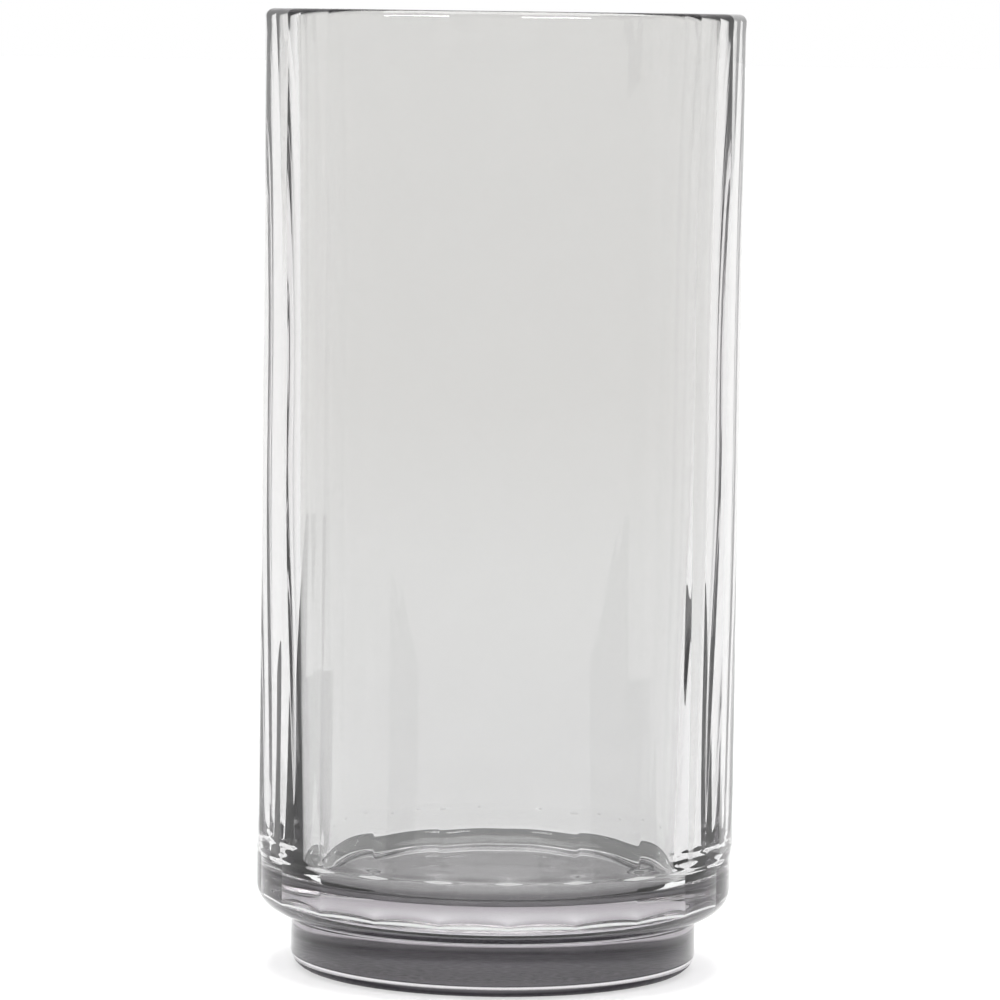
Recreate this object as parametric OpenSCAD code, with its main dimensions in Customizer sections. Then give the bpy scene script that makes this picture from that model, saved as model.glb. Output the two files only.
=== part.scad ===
// Panelled glass cylinder vase: a heavy vessel with flat panels, on a round pad foot.
// Millimetres. +Z is up, and the origin is the middle of the flat face that it stands on.

/* [Vessel] */
// Height from the table to the rim
height = 200; // [170:1:260]
// Distance across two opposite panels of the wall
across_flats = 99.4; // [98:0.2:110]
// Number of flat panels around the wall
panel_count = 22; // [20:2:24]
// Thickness of the wall at the rim, at the middle of a panel
rim_wall = 3.2; // [3:0.1:4]
// Thickness of the wall over the middle of its height
middle_wall = 7.2; // [5:0.1:8]
// Thickness of the wall where it meets the floor of the cavity
base_wall = 10.2; // [8:0.1:12]
// Height up to which the wall gets thinner from the base
middle_start = 90; // [70:1:110]
// Height from which the wall gets thinner towards the rim
middle_end = 125; // [115:1:150]
// Radius that rounds the outer edge of the rim
rim_round = 2; // [1.4:0.1:2.2]
// Radius that rounds the inner edge of the rim
lip_round = 1.2; // [0.6:0.1:1.2]

/* [Base] */
// Height of the floor of the cavity above the table
floor_height = 18.7; // [17:0.1:24]
// Radius between the wall and the floor of the cavity
cavity_round = 4; // [3:0.5:9]
// Radius of the rounded corner below the wall
corner_round = 7.2; // [5:0.2:7.2]
// Height of the joint between the scalloped base and the flat panels
joint_height = 25.2; // [22:0.2:30]
// How far each scallop stands out past the grooves beside it
scallop_rise = 0.3; // [0.2:0.02:0.4]
// How far the grooves lie inside the middle of the panels
groove_depth = 0.25; // [0.2:0.05:0.4]

/* [Foot] */
// Diameter of the foot
foot_width = 85; // [70:0.5:85]
// Height of the foot
foot_height = 11.6; // [8:0.2:12]
// Radius that rounds the lower edge of the foot
foot_round = 3.6; // [1:0.1:4]

/* [Hidden] */
$fn = 96;
SMOKE = [0.62, 0.61, 0.62, 0.45];
DEEP_SMOKE = [0.42, 0.40, 0.46, 0.6];
OVER = 1;
// Angle from the front of the vase to the nearest edge between two panels
FIRST_EDGE = 3.6;
// Gap between the panels' edges and the round block that rounds the rim and the base
BLOCK_GAP = 0.1;
// Number of steps in the curved stretch of the inside of the wall
WALL_STEPS = 10;
panel_angle = 360 / panel_count;
flat_radius = across_flats / 2;
edge_radius = flat_radius / cos(panel_angle / 2);
block_radius = edge_radius + BLOCK_GAP;
groove_radius = flat_radius - groove_depth;
scallop_radius = groove_radius + scallop_rise;
mouth_radius = flat_radius - rim_wall;
middle_radius = flat_radius - middle_wall;
well_radius = flat_radius - base_wall;
wall_start = floor_height + cavity_round;
lip_start = height - lip_round;
foot_radius = foot_width / 2;

// Distance from the axis to the inside of the wall above middle_end, where it widens to the rim
function upper_radius(z) =
    let (rise = (z - middle_end) / (lip_start - middle_end))
    middle_radius + (mouth_radius - middle_radius) * rise * rise;

// Half outline of a round block on the axis, with its lower outer corner rounded
module rounded_block(radius, low, high, corner) {
    translate([0, low])
        square([radius - corner, high - low]);
    translate([0, low + corner])
        square([radius, high - low - corner]);
    translate([radius - corner, low + corner])
        circle(r = corner);
}

// Half outline of the round block that the vessel is cut from, rounded at the base and at the rim
module envelope_outline() {
    shoulder = height - rim_round;
    rounded_block(block_radius, foot_height, shoulder, corner_round);
    translate([0, shoulder - OVER])
        square([block_radius - rim_round, rim_round + OVER]);
    translate([block_radius - rim_round, shoulder])
        circle(r = rim_round);
}

// The upright prism whose faces are the flat panels
module panel_prism() {
    corners = [for (i = [0 : panel_count - 1])
        let (angle = FIRST_EDGE - 90 + i * panel_angle)
        edge_radius * [cos(angle), sin(angle)]];
    translate([0, 0, joint_height])
        linear_extrude(height - joint_height + OVER)
            polygon(corners);
}

// The scalloped base: one round lobe below each panel, with a groove between neighbours
module scalloped_base() {
    half_width = groove_radius * sin(panel_angle / 2);
    lobe_height = scallop_radius - groove_radius * cos(panel_angle / 2);
    lobe_round = (half_width * half_width + lobe_height * lobe_height) / (2 * lobe_height);
    linear_extrude(joint_height)
        for (i = [0 : panel_count - 1])
            rotate(FIRST_EDGE - 90 + (i + 0.5) * panel_angle)
                translate([scallop_radius - lobe_round, 0])
                    circle(r = lobe_round);
}

// The space inside, as a half outline: a tapered wall, a rounded floor and a rounded mouth
module cavity_outline() {
    lower_wall = [[well_radius, wall_start], [middle_radius, middle_start]];
    upper_wall = [for (i = [0 : WALL_STEPS])
        let (z = middle_end + (lip_start - middle_end) * i / WALL_STEPS)
        [upper_radius(z), z]];
    polygon(concat(
        [[0, wall_start]], lower_wall, upper_wall, [[mouth_radius, height + OVER], [0, height + OVER]]
    ));
    translate([0, floor_height])
        square([well_radius - cavity_round, cavity_round]);
    intersection() {
        translate([well_radius - cavity_round, wall_start])
            circle(r = cavity_round);
        translate([0, floor_height])
            square([well_radius, cavity_round]);
    }
    difference() {
        translate([mouth_radius, lip_start])
            square([lip_round, lip_round + OVER]);
        translate([mouth_radius + lip_round, lip_start])
            circle(r = lip_round);
    }
}

module vessel() {
    color(SMOKE)
        difference() {
            intersection() {
                rotate_extrude()
                    envelope_outline();
                union() {
                    panel_prism();
                    scalloped_base();
                }
            }
            rotate_extrude()
                cavity_outline();
        }
}

module foot() {
    color(DEEP_SMOKE)
        rotate_extrude()
            rounded_block(foot_radius, 0, foot_height, foot_round);
}

vessel();
foot();
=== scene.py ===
"""A panelled vase of smoke-tinted glass on a plain pale floor, in soft studio light.

The vase's own sizes are in millimetres. The studio and the camera are in metres, and their
angles in degrees. One skin of glass replaces both CAD nodes, because the vessel and the foot
are fused and light has to pass from one into the other without a joint.
"""
import math

import bpy
from mathutils import Matrix, Vector, noise


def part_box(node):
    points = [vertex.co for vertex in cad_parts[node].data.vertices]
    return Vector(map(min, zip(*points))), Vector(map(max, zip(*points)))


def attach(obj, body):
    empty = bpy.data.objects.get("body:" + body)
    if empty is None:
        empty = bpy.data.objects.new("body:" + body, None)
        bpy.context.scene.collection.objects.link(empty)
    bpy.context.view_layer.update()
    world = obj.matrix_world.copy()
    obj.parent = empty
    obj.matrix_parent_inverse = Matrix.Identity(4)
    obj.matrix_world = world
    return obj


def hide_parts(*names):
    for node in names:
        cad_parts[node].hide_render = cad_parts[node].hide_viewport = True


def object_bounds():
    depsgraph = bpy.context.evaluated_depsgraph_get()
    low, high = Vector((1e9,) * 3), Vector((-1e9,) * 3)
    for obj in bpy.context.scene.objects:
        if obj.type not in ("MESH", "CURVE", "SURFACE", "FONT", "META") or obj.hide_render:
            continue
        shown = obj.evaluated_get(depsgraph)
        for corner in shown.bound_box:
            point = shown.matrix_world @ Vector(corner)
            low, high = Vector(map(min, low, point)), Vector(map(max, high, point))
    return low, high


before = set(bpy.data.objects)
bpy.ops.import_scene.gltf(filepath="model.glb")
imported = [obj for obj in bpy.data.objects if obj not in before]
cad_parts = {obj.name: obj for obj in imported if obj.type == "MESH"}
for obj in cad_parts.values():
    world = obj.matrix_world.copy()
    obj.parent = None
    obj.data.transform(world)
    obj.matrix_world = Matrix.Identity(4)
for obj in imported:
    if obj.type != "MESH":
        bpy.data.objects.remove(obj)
cad_low, cad_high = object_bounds()
_, vessel_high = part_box("vessel")
_, foot_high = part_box("foot")

MM = 0.001

# Outline of the vase, in millimetres. The overall sizes come from the CAD model.
HEIGHT = vessel_high.z / MM
BLOCK_RADIUS = vessel_high.x / MM
STEP_Z = foot_high.z / MM
FOOT_RADIUS = foot_high.x / MM
PANEL_COUNT = 22
PANEL_ANGLE = 2 * math.pi / PANEL_COUNT
# Angle in degrees from the front of the vase to the nearest edge between two panels
FIRST_EDGE = 3.6
FLAT_RADIUS = 49.65
# The scallops of the base: radius of the grooves, rise of each lobe, and where they run out
GROOVE_RADIUS = 49.45
LOBE_SAG = 0.27
LOBE_FULL = 24.0
LOBE_END = 27.0
# The low ridge round the top of the scalloped base
RIDGE_Z = 25.2
RIDGE = 0.12
RIDGE_WIDE = 0.5
# Radius of the inside at its floor, half-way up and at the mouth, the height where the lower
# taper ends and the height where the upper one starts
WELL_RADIUS = 39.5
WALL_RADIUS = 42.5
MOUTH_RADIUS = 46.4
WELL_END = 90.0
MOUTH_START = 125.0
# Share of the lower taper over which the inside bends into the upright stretch above it
TAPER_BLEND = 0.3
FLOOR_Z = 18.7
CAVITY_ROUND = 4.0
WALL_START = FLOOR_Z + CAVITY_ROUND
RIM_ROUND = (FLAT_RADIUS - MOUTH_RADIUS) / 2
CORNER_ROUND = 7.2
FOOT_ROUND = 3.6
STEP_ROUND = 0.5
# Width over which the round block and the panels run into each other
BLEND = 0.4
# The swell of the inside: its depth, the radius of the circle that its noise is read on, the
# height of one unit of noise, and the radius outside which the floor swells too
WAVE = 0.10
WAVE_ROUND = 2.2
WAVE_TALL = 38.0
WAVE_START = 20

# Steps of the mesh: counts, lengths in millimetres, and in CORNER_START degrees
UNDERSIDE_RADII = (2, 6, 12, 18, 24, 30, 35)
FOOT_ROUND_STEPS = 16
FOOT_STEP = 0.7
STEP_ROUND_STEPS = 6
CORNER_START = -84
CORNER_STEPS = 56
BASE_STEP = 0.5
RIDGE_REACH = 2
RIDGE_STEP = 0.125
WALL_STEP = 2.5
RIM_GAP = 2
RIM_STEPS = 24
FILLET_STEPS = 20
FLOOR_RADII = (28, 22, 16, 10, 5, 2)
# Places in each panel, as shares of the way from its middle to its edges
TURN_SHARES = (-0.985, -0.95, -0.88, -0.75, -0.55, -0.3, 0, 0.3, 0.55, 0.75, 0.88, 0.95, 0.985)

IOR = 1.5
# Colour of the light that the glass lets through, and how strongly a metre of it takes the rest
SMOKE = (0.53, 0.49, 0.53, 1)
SMOKE_DENSITY = 5
# Tint of the surfaces nearer to the axis than OUTSIDE: the floor and lower wall of the cavity
PLAIN_TINT = (0.806, 0.807, 0.804)
OUTSIDE = 41.0
# Height and tint of the surfaces farther out. Up to about 20 mm these are painted light and shade:
# the foot is painted darker towards the vessel as shade, with painted light on a band low on the
# foot and on the solid glass just above the step; higher up they are the glass's own tint
TINTS_AND_PAINTED_LIGHT = (
    (0.0, (0.79, 0.787, 0.79)),
    (1.8, (0.79, 0.787, 0.79)),
    (2.4, (1.0, 1.0, 1.0)),
    (4.4, (1.0, 1.0, 1.0)),
    (7.0, (0.66, 0.64, 0.68)),
    (9.6, (0.22, 0.19, 0.22)),
    (11.3, (0.12, 0.10, 0.12)),
    (11.7, (0.97, 1.0, 0.98)),
    (19.0, (0.97, 1.0, 0.98)),
    (20.4, PLAIN_TINT),
    (80.0, (0.8145, 0.815, 0.808)),
    (120.0, (0.79, 0.787, 0.776)),
)
# Height at the upper end of the ramp that holds these tints
TINT_TOP = 140.0
# Noise in the glass, with scales in cycles per metre: upright streaks and soft clouds, which
# pull the tint towards STREAK_TINT, and the grain of the ground underside
STREAK_SCALE = (70, 70, 4)
STREAK_DETAIL = 3
CLOUD_SCALE = (22, 22, 22)
CLOUD_DETAIL = 2
STREAK_TINT = (0.74, 0.74, 0.75)
STREAK_DEEP = 0.10
GRAIN_SCALE = (900, 900, 900)
GRAIN_DETAIL = 2
GRAIN_RANGE = (0.3, 0.7)
# Heights of the ripple along the streaks and of the pits in the ground glass
RIPPLE = 0.01
GROUND_PITS = 0.02
# The ground underside: the heights between which it fades out, its roughness, the share of
# light that it lets through, and its near-black tints when seen steeply, which are painted shade
GROUND_TOP = 2.1
GROUND_FULL = 1.8
GROUND_ROUGH = (0.38, 0.52)
GROUND_CLEAR = 0.1
GROUND_PAINTED_SHADE = ((0.075, 0.070, 0.078), (0.098, 0.093, 0.101))
# Its tint at a grazing angle, which is a painted dark reflection, and the values of Facing between
# which that takes over
GRAZE_PAINTED_REFLECTION = (0.03, 0.026, 0.034)
GRAZE_LOW = 0.28
GRAZE_HIGH = 0.48

# Floor, in metres: how far it lies below the vase and how far it reaches
FLOOR_GAP = 0.0001
FLOOR_REACH = 20.0
FLOOR_TINT = (0.9, 0.9, 0.9, 1)
FLOOR_ROUGH = 0.9
# Sky: brightness overhead, and the Z of the directions between which it falls to that from white
SKY_TOP = 0.35
SKY_LOW = 0.15
SKY_HIGH = 0.7
# The same for light that has crossed one or two surfaces, as it does through solid glass
DARK_TOP = 0.02
DARK_LOW = 0.25
DARK_HIGH = 0.5
# Limits of the count of glass surfaces crossed: solid glass only, and the cavity as well
SOLID = (0.5, 2.5)
CAVITY = (2.5, 4.5)
# Dark cards just above the floor, which only light that has crossed glass can see: name, sides,
# near radius, far radius, first angle at the near radius and at the far one, last angle at both,
# surfaces crossed, and darkness. Angles are from +Y, and each card is repeated half a turn away.
CARDS = (
    ("far_left", (-1,), 0.30, 0.80, 47, 68, 72, SOLID, 1.0),
    ("side_left", (-1,), 0.12, 0.30, 46, 47, 84, SOLID, 1.0),
    ("near_left", (-1,), 0.062, 0.12, 44, 46, 84, SOLID, 1.0),
    ("far_right", (1,), 0.30, 0.50, 39, 54, 56, SOLID, 1.0),
    ("side_right", (1,), 0.12, 0.30, 39, 39, 56, SOLID, 1.0),
    ("near_right", (1,), 0.062, 0.12, 44, 40, 84, SOLID, 1.0),
    ("base", (-1, 1), 0.085, 0.135, 20.5, 20.5, 44, SOLID, 1.0),
    ("fillet", (-1, 1), 0.070, 0.098, 0, 0, 90, CAVITY, 0.75),
)
CARD_STEP = 6
CARD_Z = 0.001
CARD_GAP = 0.0003
# The dark disc between the foot and the floor, a painted contact shadow seen only through the glass
DISC_RADIUS = 0.07
DISC_Z = -0.00004
DISC_STEP = 15
# Soft light from above, and two lamps in front of the vase, to the left and to the right
SUN_POWER = 2.4
SUN_SIZE = 60
SUN_TILT = -10
LAMP_POWER = 12.0
LAMP_WIDTH = 0.5
LAMP_DEPTH = 0.3
LAMP_ANGLE = 145
LAMP_RISE = 38
LAMP_FAR = 1.5
LAMP_AIM = (0, 0, 0.05)

# Camera: sensor and lens in millimetres, the rest in metres and degrees
SENSOR = 36
LENS = 199.6
CLIP_NEAR = 0.05
CLIP_FAR = 50
EYE_X = 0.0003
EYE_Y = -1.155
PITCH = 5.04
ROLL = 0.78

BOUNCES = 32
GLOSSY_BOUNCES = 16


def smooth_max(a, b, width):
    """The larger of a and b, with the change from one to the other rounded over width."""
    gap = max(width - abs(a - b), 0) / width
    return max(a, b) + gap * gap * width / 4


def smooth_min(a, b, width):
    return -smooth_max(-a, -b, width)


def ease(value, low, high):
    """0 below low, 1 above high, and a soft change between them."""
    t = min(max((value - low) / (high - low), 0), 1)
    return t * t * (3 - 2 * t)


def panel_radius(turn, z):
    """Distance from the axis to the outside of the wall, turn radians from a panel's middle."""
    share = turn / (PANEL_ANGLE / 2)
    flat = FLAT_RADIUS / math.cos(turn)
    lobe = GROOVE_RADIUS + LOBE_SAG * (1 - share * share)
    low = 1 - ease(z, LOBE_FULL, LOBE_END)
    ridge = RIDGE * math.exp(-((z - RIDGE_Z) / RIDGE_WIDE) ** 2)
    return flat + (lobe - flat) * low + ridge


def inner_radius(z, angle):
    """Distance from the axis to the inside of the wall, which swells very slightly in places."""
    rise = max((z - MOUTH_START) / (HEIGHT - MOUTH_START), 0)
    sink = (WELL_END - z) / (WELL_END - WALL_START)
    radius = WALL_RADIUS + (MOUTH_RADIUS - WALL_RADIUS) * rise * rise
    radius -= (WALL_RADIUS - WELL_RADIUS) * smooth_max(sink, 0, TAPER_BLEND)
    place = Vector((math.cos(angle) * WAVE_ROUND, math.sin(angle) * WAVE_ROUND, z / WAVE_TALL))
    return radius + WAVE * noise.noise(place)


def arc(centre, radius, start, end, steps):
    """Points on an arc in the half outline; angles in degrees from +r towards +z."""
    points = []
    for i in range(steps + 1):
        angle = math.radians(start + (end - start) * i / steps)
        points.append((centre[0] + radius * math.cos(angle), centre[1] + radius * math.sin(angle)))
    return points


def rising(low, high, step):
    """Evenly spaced heights from low to high, ends left out, about step apart."""
    count = max(round((high - low) / step), 1)
    return [low + (high - low) * i / count for i in range(1, count)]


def foot_points():
    """Half outline of the foot, from the middle of its underside to the step below the vessel."""
    points = [(r, 0) for r in UNDERSIDE_RADII]
    points += arc((FOOT_RADIUS - FOOT_ROUND, FOOT_ROUND), FOOT_ROUND, -90, 0, FOOT_ROUND_STEPS)
    points += [(FOOT_RADIUS, z) for z in rising(FOOT_ROUND, STEP_Z - STEP_ROUND, FOOT_STEP)]
    step_centre = (FOOT_RADIUS + STEP_ROUND, STEP_Z - STEP_ROUND)
    points += arc(step_centre, STEP_ROUND, 180, 90, STEP_ROUND_STEPS)
    return points


def wall_points():
    """Half outline of the outside of the vessel, as (radius of the round block, height)."""
    low = STEP_Z + CORNER_ROUND
    centre = (BLOCK_RADIUS - CORNER_ROUND, low)
    heights = rising(low, RIDGE_Z - RIDGE_REACH, BASE_STEP)
    heights += rising(RIDGE_Z - RIDGE_REACH, RIDGE_Z + RIDGE_REACH, RIDGE_STEP)
    heights += rising(RIDGE_Z + RIDGE_REACH, HEIGHT - RIM_GAP, WALL_STEP)
    points = arc(centre, CORNER_ROUND, CORNER_START, 0, CORNER_STEPS)
    return points + [(BLOCK_RADIUS, z) for z in heights]


def floor_points():
    """Half outline of the floor of the cavity, from the wall to the middle."""
    points = arc((WELL_RADIUS - CAVITY_ROUND, WALL_START), CAVITY_ROUND, 0, -90, FILLET_STEPS)
    return points + [(r, FLOOR_Z) for r in FLOOR_RADII]


def panel_turns():
    """Angles round the vase, crowded towards the panels' edges, each with its turn in its panel."""
    half = PANEL_ANGLE / 2
    turns = []
    for panel in range(PANEL_COUNT):
        middle = math.radians(FIRST_EDGE - 90) + (panel + 0.5) * PANEL_ANGLE
        turns += [(middle + share * half, share * half) for share in TURN_SHARES]
    return turns


def rim_ring(turns, angle):
    """One ring of the rounded rim: angle 0 lies on its outside and pi on its inside."""
    ring = []
    for around, turn in turns:
        out = panel_radius(turn, HEIGHT)
        inside = inner_radius(HEIGHT, around)
        radius = (out + inside) / 2 + (out - inside) / 2 * math.cos(angle)
        ring.append((radius, HEIGHT - RIM_ROUND + RIM_ROUND * math.sin(angle)))
    return ring


def floor_ring(turns, radius, z):
    """One ring of the floor of the cavity, which swells with the wall towards its edge."""
    fade = ease(radius, WAVE_START, WELL_RADIUS)
    level = max(z, WALL_START)
    return [(radius + fade * (inner_radius(level, around) - WELL_RADIUS), z) for around, _ in turns]


def vase_rings(turns):
    """Rings of (radius, height): foot, outside wall, rim, inside wall and floor of the cavity."""
    rings = [[point] * len(turns) for point in foot_points()]
    for block, z in wall_points():
        rings.append([(smooth_min(block, panel_radius(turn, z), BLEND), z) for _, turn in turns])
    for i in range(RIM_STEPS + 1):
        rings.append(rim_ring(turns, math.pi * i / RIM_STEPS))
    for z in reversed(rising(WALL_START, HEIGHT - RIM_ROUND, WALL_STEP)):
        rings.append([(inner_radius(z, around), z) for around, _ in turns])
    for radius, z in floor_points():
        rings.append(floor_ring(turns, radius, z))
    return rings


def vase_mesh():
    """One closed skin over all the rings, with a point in the middle at each of its ends."""
    turns = panel_turns()
    rings = vase_rings(turns)
    verts = [(0, 0, 0)]
    for ring in rings:
        for (angle, _), (r, z) in zip(turns, ring):
            verts.append((r * math.cos(angle) * MM, r * math.sin(angle) * MM, z * MM))
    verts.append((0, 0, FLOOR_Z * MM))

    count = len(turns)
    last = len(verts) - 1
    last_ring = last - count
    faces = []
    for i in range(count):
        j = (i + 1) % count
        faces.append((0, 1 + j, 1 + i))
        faces.append((last_ring + i, last_ring + j, last))
    for k in range(len(rings) - 1):
        a = 1 + k * count
        b = a + count
        for i in range(count):
            j = (i + 1) % count
            faces.append((a + i, a + j, b + j, b + i))

    mesh = bpy.data.meshes.new("vase_glass")
    mesh.from_pydata(verts, [], faces)
    mesh.validate()
    for face in mesh.polygons:
        face.use_smooth = True
    return mesh


def put(tree, value, socket):
    """Link value into the socket if it is an output, else set it as the socket's own value."""
    if isinstance(value, bpy.types.NodeSocket):
        tree.links.new(value, socket)
    else:
        socket.default_value = value


def math_node(tree, operation, first, second=0.0):
    node = tree.nodes.new("ShaderNodeMath")
    node.operation = operation
    put(tree, first, node.inputs[0])
    put(tree, second, node.inputs[1])
    return node.outputs["Value"]


def map_range(tree, value, low, high, start=0.0, end=1.0):
    """Value moved from the range low to high into the range start to end, and held at its ends."""
    node = tree.nodes.new("ShaderNodeMapRange")
    put(tree, value, node.inputs["Value"])
    node.inputs["From Min"].default_value = low
    node.inputs["From Max"].default_value = high
    node.inputs["To Min"].default_value = start
    node.inputs["To Max"].default_value = end
    return node.outputs["Result"]


def mix_colour(tree, factor, first, second):
    """First where factor is 0 and second where it is 1; each is an output or three numbers."""
    node = tree.nodes.new("ShaderNodeMix")
    node.data_type = "RGBA"
    put(tree, factor, node.inputs["Factor"])
    for value, name in ((first, "A"), (second, "B")):
        if isinstance(value, tuple):
            value = (*value, 1)
        put(tree, value, [s for s in node.inputs if s.name == name and s.type == "RGBA"][0])
    return [s for s in node.outputs if s.type == "RGBA"][0]


def colour_ramp(tree, value, stops):
    """The colour at value between stops, each of which is (position, three numbers)."""
    ramp = tree.nodes.new("ShaderNodeValToRGB")
    elements = ramp.color_ramp.elements
    while len(elements) < len(stops):
        elements.new(0.5)
    for element, (position, colour) in zip(elements, stops):
        element.position = position
        element.color = (*colour, 1)
    tree.links.new(value, ramp.inputs["Fac"])
    return ramp.outputs["Color"]


def noise_node(tree, place, scale, detail):
    stretch = tree.nodes.new("ShaderNodeMapping")
    stretch.inputs["Scale"].default_value = scale
    tree.links.new(place, stretch.inputs["Vector"])
    node = tree.nodes.new("ShaderNodeTexNoise")
    node.inputs["Scale"].default_value = 1
    node.inputs["Detail"].default_value = detail
    tree.links.new(stretch.outputs["Vector"], node.inputs["Vector"])
    return node.outputs[0]


def outside_mask(tree, split):
    """1 where a place is farther from the axis than OUTSIDE, else 0."""
    across = math_node(tree, "MULTIPLY", split.outputs["X"], split.outputs["X"])
    along = math_node(tree, "MULTIPLY", split.outputs["Y"], split.outputs["Y"])
    radius = math_node(tree, "SQRT", math_node(tree, "ADD", across, along))
    return math_node(tree, "GREATER_THAN", radius, OUTSIDE * MM)


def relief(tree, streaks, pits):
    """The normal of a surface that ripples along the streaks and has pits."""
    ripple = math_node(tree, "MULTIPLY", streaks, RIPPLE)
    depth = math_node(tree, "MULTIPLY", pits, GROUND_PITS)
    bump = tree.nodes.new("ShaderNodeBump")
    bump.inputs["Distance"].default_value = MM
    tree.links.new(math_node(tree, "ADD", ripple, depth), bump.inputs["Height"])
    return bump.outputs["Normal"]


def glass_material():
    """Smoke glass with faint upright streaks and a fine-ground underside, with painted light and
    shade: darker and lighter bands painted by height, an underside painted near black as shade, and
    darker still at grazing angles as a painted reflection.
    """
    material = bpy.data.materials.new("smoke_glass")
    material.use_nodes = True
    tree = material.node_tree
    shader = tree.nodes["Principled BSDF"]
    shader.inputs["IOR"].default_value = IOR

    place = tree.nodes.new("ShaderNodeTexCoord").outputs["Object"]
    split = tree.nodes.new("ShaderNodeSeparateXYZ")
    tree.links.new(place, split.inputs["Vector"])
    height = split.outputs["Z"]
    ground = map_range(tree, height, GROUND_TOP * MM, GROUND_FULL * MM)
    streaks = noise_node(tree, place, STREAK_SCALE, STREAK_DETAIL)
    clouds = noise_node(tree, place, CLOUD_SCALE, CLOUD_DETAIL)
    grain = noise_node(tree, place, GRAIN_SCALE, GRAIN_DETAIL)

    level = map_range(tree, height, 0, TINT_TOP * MM)
    # Painted light and shade by height: the foot is painted darker towards the vessel, and lighter
    # bands are painted low on the foot and above the step
    outside_tint_and_painted_light = colour_ramp(tree, level, [(z / TINT_TOP, tint) for z, tint in TINTS_AND_PAINTED_LIGHT])
    clear_tint_and_painted_light = mix_colour(tree, outside_mask(tree, split), PLAIN_TINT, outside_tint_and_painted_light)
    drift = math_node(tree, "MULTIPLY", math_node(tree, "ADD", streaks, clouds), STREAK_DEEP)
    body = mix_colour(tree, drift, clear_tint_and_painted_light, STREAK_TINT)

    facing = tree.nodes.new("ShaderNodeLayerWeight").outputs["Facing"]
    graze = map_range(tree, facing, GRAZE_LOW, GRAZE_HIGH)
    # Painted shade: the underside is coloured near black, and darker still at grazing angles as a
    # painted dark reflection
    steep_painted_shade = mix_colour(tree, grain, *GROUND_PAINTED_SHADE)
    ground_painted_shade = mix_colour(tree, graze, steep_painted_shade, GRAZE_PAINTED_REFLECTION)
    polish = map_range(tree, grain, *GRAIN_RANGE, *GROUND_ROUGH)
    pits = math_node(tree, "MULTIPLY", ground, grain)

    tree.links.new(mix_colour(tree, ground, body, ground_painted_shade), shader.inputs["Base Color"])
    tree.links.new(math_node(tree, "MULTIPLY", ground, polish), shader.inputs["Roughness"])
    tree.links.new(math_node(tree, "MULTIPLY", ground, graze), shader.inputs["Metallic"])
    tree.links.new(relief(tree, streaks, pits), shader.inputs["Normal"])
    clear = map_range(tree, ground, 0, 1, 1.0, GROUND_CLEAR)
    tree.links.new(clear, shader.inputs["Transmission Weight"])

    absorb = tree.nodes.new("ShaderNodeVolumeAbsorption")
    absorb.inputs["Color"].default_value = SMOKE
    absorb.inputs["Density"].default_value = SMOKE_DENSITY
    tree.links.new(absorb.outputs["Volume"], tree.nodes["Material Output"].inputs["Volume"])
    return material


def through_glass(tree, crossed):
    """1 for light whose count of glass surfaces lies within the limits crossed, else 0."""
    least, deepest = crossed
    path = tree.nodes.new("ShaderNodeLightPath")
    depth = path.outputs["Transmission Depth"]
    enough = math_node(tree, "GREATER_THAN", depth, least)
    not_too_many = math_node(tree, "LESS_THAN", depth, deepest)
    not_from_matt = math_node(tree, "LESS_THAN", path.outputs["Diffuse Depth"], 0.5)
    within = math_node(tree, "MULTIPLY", enough, not_too_many)
    return math_node(tree, "MULTIPLY", within, not_from_matt)


def studio_world():
    """White at the horizon all round and darker overhead, most of all through solid glass."""
    world = bpy.data.worlds.new("studio")
    bpy.context.scene.world = world
    world.use_nodes = True
    tree = world.node_tree
    coords = tree.nodes.new("ShaderNodeTexCoord")
    split = tree.nodes.new("ShaderNodeSeparateXYZ")
    tree.links.new(coords.outputs["Generated"], split.inputs["Vector"])
    rise = split.outputs["Z"]
    white = (1, 1, 1)
    sky = colour_ramp(tree, rise, ((SKY_LOW, white), (SKY_HIGH, (SKY_TOP,) * 3)))
    dark = colour_ramp(tree, rise, ((DARK_LOW, white), (DARK_HIGH, (DARK_TOP,) * 3)))
    mixed = mix_colour(tree, through_glass(tree, SOLID), sky, dark)
    tree.links.new(mixed, tree.nodes["Background"].inputs["Color"])


def floor_material():
    material = bpy.data.materials.new("floor")
    material.use_nodes = True
    shader = material.node_tree.nodes["Principled BSDF"]
    shader.inputs["Base Color"].default_value = FLOOR_TINT
    shader.inputs["Roughness"].default_value = FLOOR_ROUGH
    shader.inputs["Specular IOR Level"].default_value = 0.0
    return material


def card_material(name, crossed, darkness):
    """Black by the share darkness for light within the limits crossed, and clear for the rest."""
    material = bpy.data.materials.new(name)
    material.use_nodes = True
    tree = material.node_tree
    shader = tree.nodes["Principled BSDF"]
    shader.inputs["Base Color"].default_value = (0.0, 0.0, 0.0, 1)
    shader.inputs["Specular IOR Level"].default_value = 0.0
    clear = tree.nodes.new("ShaderNodeBsdfTransparent")
    mix = tree.nodes.new("ShaderNodeMixShader")
    factor = math_node(tree, "MULTIPLY", through_glass(tree, crossed), darkness)
    tree.links.new(factor, mix.inputs["Fac"])
    tree.links.new(clear.outputs["BSDF"], mix.inputs[1])
    tree.links.new(shader.outputs["BSDF"], mix.inputs[2])
    tree.links.new(mix.outputs["Shader"], tree.nodes["Material Output"].inputs["Surface"])
    return material


def stage_piece(name, corners, material):
    mesh = bpy.data.meshes.new(name)
    mesh.from_pydata(corners, [], [tuple(range(len(corners)))])
    mesh.materials.append(material)
    piece = bpy.data.objects.new(name, mesh)
    bpy.context.scene.collection.objects.link(piece)
    return piece


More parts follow.
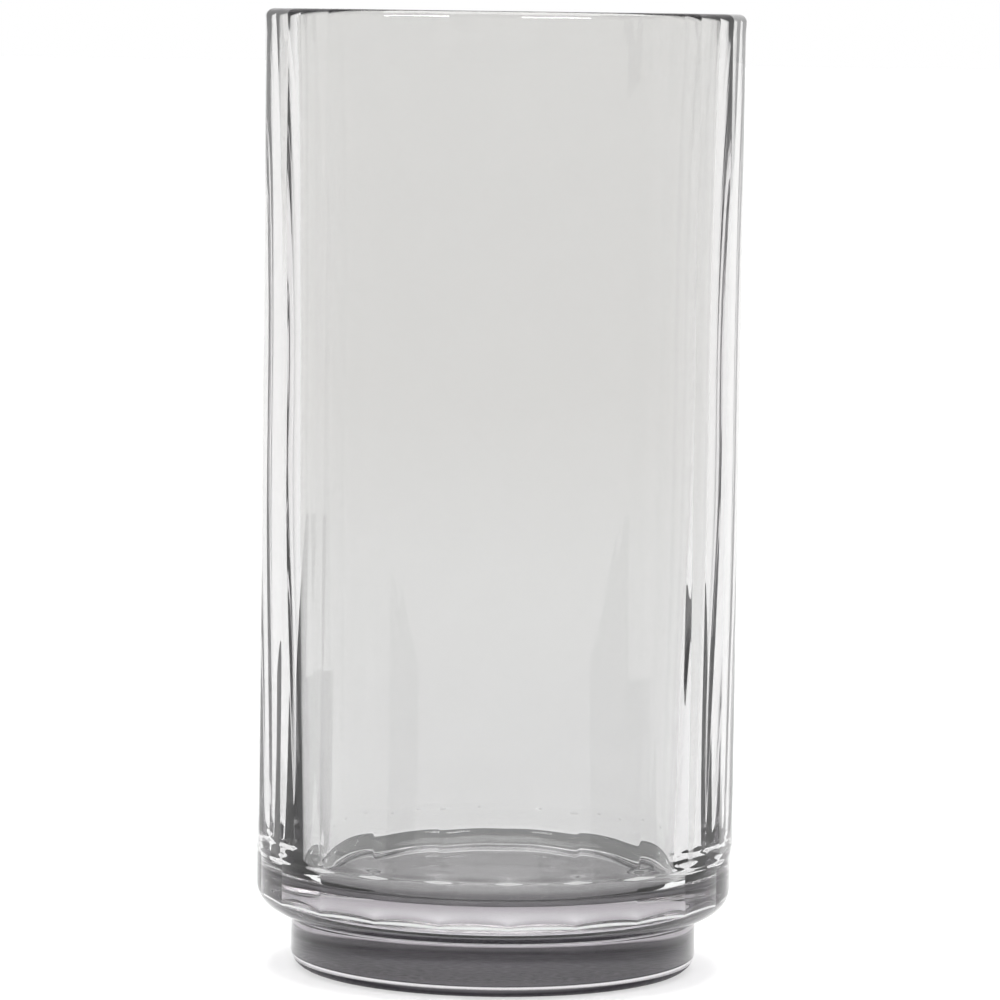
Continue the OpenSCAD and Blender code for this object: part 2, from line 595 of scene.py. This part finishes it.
def add_card(name, polar, height, material):
    """A flat card whose corners are given as (radius, degrees from +Y)."""
    corners = []
    for radius, degrees in polar:
        angle = math.radians(degrees)
        corners.append((radius * math.sin(angle), radius * math.cos(angle), height))
    piece = stage_piece(name, corners, material)
    piece.visible_camera = False
    piece.visible_shadow = False
    piece.visible_diffuse = False


def add_floor():
    ground = cad_low.z - FLOOR_GAP
    signs = ((-1, -1), (1, -1), (1, 1), (-1, 1))
    corners = [(x * FLOOR_REACH, y * FLOOR_REACH, ground) for x, y in signs]
    stage_piece("floor", corners, floor_material())


def add_cards():
    # The dark disc under the foot is a painted contact shadow, which only light that has crossed
    # glass sees
    disc = [(DISC_RADIUS, degrees) for degrees in range(0, 360, DISC_STEP)]
    add_card("painted_contact_shadow", disc, DISC_Z, card_material("painted_contact_shadow", SOLID, 1.0))
    for number, (name, sides, near, far, start, far_start, end, *light) in enumerate(CARDS):
        material = card_material(name, *light)
        steps = max(round((end - start) / CARD_STEP), 1)
        sector = [(near, start + (end - start) * i / steps) for i in range(steps + 1)]
        sector += [(far, end + (far_start - end) * i / steps) for i in range(steps + 1)]
        for quarter, (side, back) in enumerate((s, b) for s in sides for b in (0, 180)):
            polar = [(radius, side * degrees + back) for radius, degrees in sector]
            add_card(f"{name}_{quarter}", polar, CARD_Z + CARD_GAP * number, material)


def add_sun():
    sun = bpy.data.lights.new("soft_top", "SUN")
    sun.angle = math.radians(SUN_SIZE)
    sun.energy = SUN_POWER
    lamp = bpy.data.objects.new("soft_top", sun)
    lamp.rotation_euler = (math.radians(SUN_TILT), 0, 0)
    bpy.context.scene.collection.objects.link(lamp)


def add_lamp(name, degrees):
    """An area lamp, degrees from +Y round the vase, that leaves matt surfaces unlit."""
    light = bpy.data.lights.new(name, "AREA")
    light.shape = "RECTANGLE"
    light.size = LAMP_WIDTH
    light.size_y = LAMP_DEPTH
    light.energy = LAMP_POWER
    rise = math.radians(LAMP_RISE)
    turn = math.radians(degrees)
    flat = LAMP_FAR * math.cos(rise)
    place = (flat * math.sin(turn), flat * math.cos(turn), LAMP_FAR * math.sin(rise))
    lamp = bpy.data.objects.new(name, light)
    lamp.location = place
    lamp.rotation_euler = (Vector(LAMP_AIM) - Vector(place)).to_track_quat("-Z", "Y").to_euler()
    lamp.visible_diffuse = False
    bpy.context.scene.collection.objects.link(lamp)


def add_camera():
    scene = bpy.context.scene
    data = bpy.data.cameras.new("camera")
    data.sensor_width = SENSOR
    data.lens = LENS
    data.clip_start = CLIP_NEAR
    data.clip_end = CLIP_FAR
    cam = bpy.data.objects.new("camera", data)
    cam.location = (EYE_X, EYE_Y, HEIGHT * MM)
    pitch = Matrix.Rotation(math.pi / 2 - math.radians(PITCH), 4, "X")
    roll = Matrix.Rotation(math.radians(ROLL), 4, "Z")
    cam.matrix_world = Matrix.Translation(cam.location) @ (pitch @ roll)
    scene.collection.objects.link(cam)
    scene.camera = cam


def add_vase():
    mesh = vase_mesh()
    mesh.materials.append(glass_material())
    vase = bpy.data.objects.new("vase_glass", mesh)
    vase.visible_shadow = False
    bpy.context.scene.collection.objects.link(vase)
    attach(vase, "root")
    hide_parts("vessel", "foot")


def set_rendering():
    """Plain colours, and enough bounces for light to cross the thick glass many times."""
    scene = bpy.context.scene
    scene.view_settings.view_transform = "Standard"
    scene.cycles.max_bounces = BOUNCES
    scene.cycles.transmission_bounces = BOUNCES
    scene.cycles.glossy_bounces = GLOSSY_BOUNCES
    scene.cycles.use_denoising = True
    scene.cycles.blur_glossy = 0.0


add_vase()
studio_world()
add_floor()
add_cards()
add_sun()
add_lamp("left", -LAMP_ANGLE)
add_lamp("right", LAMP_ANGLE)
add_camera()
set_rendering()
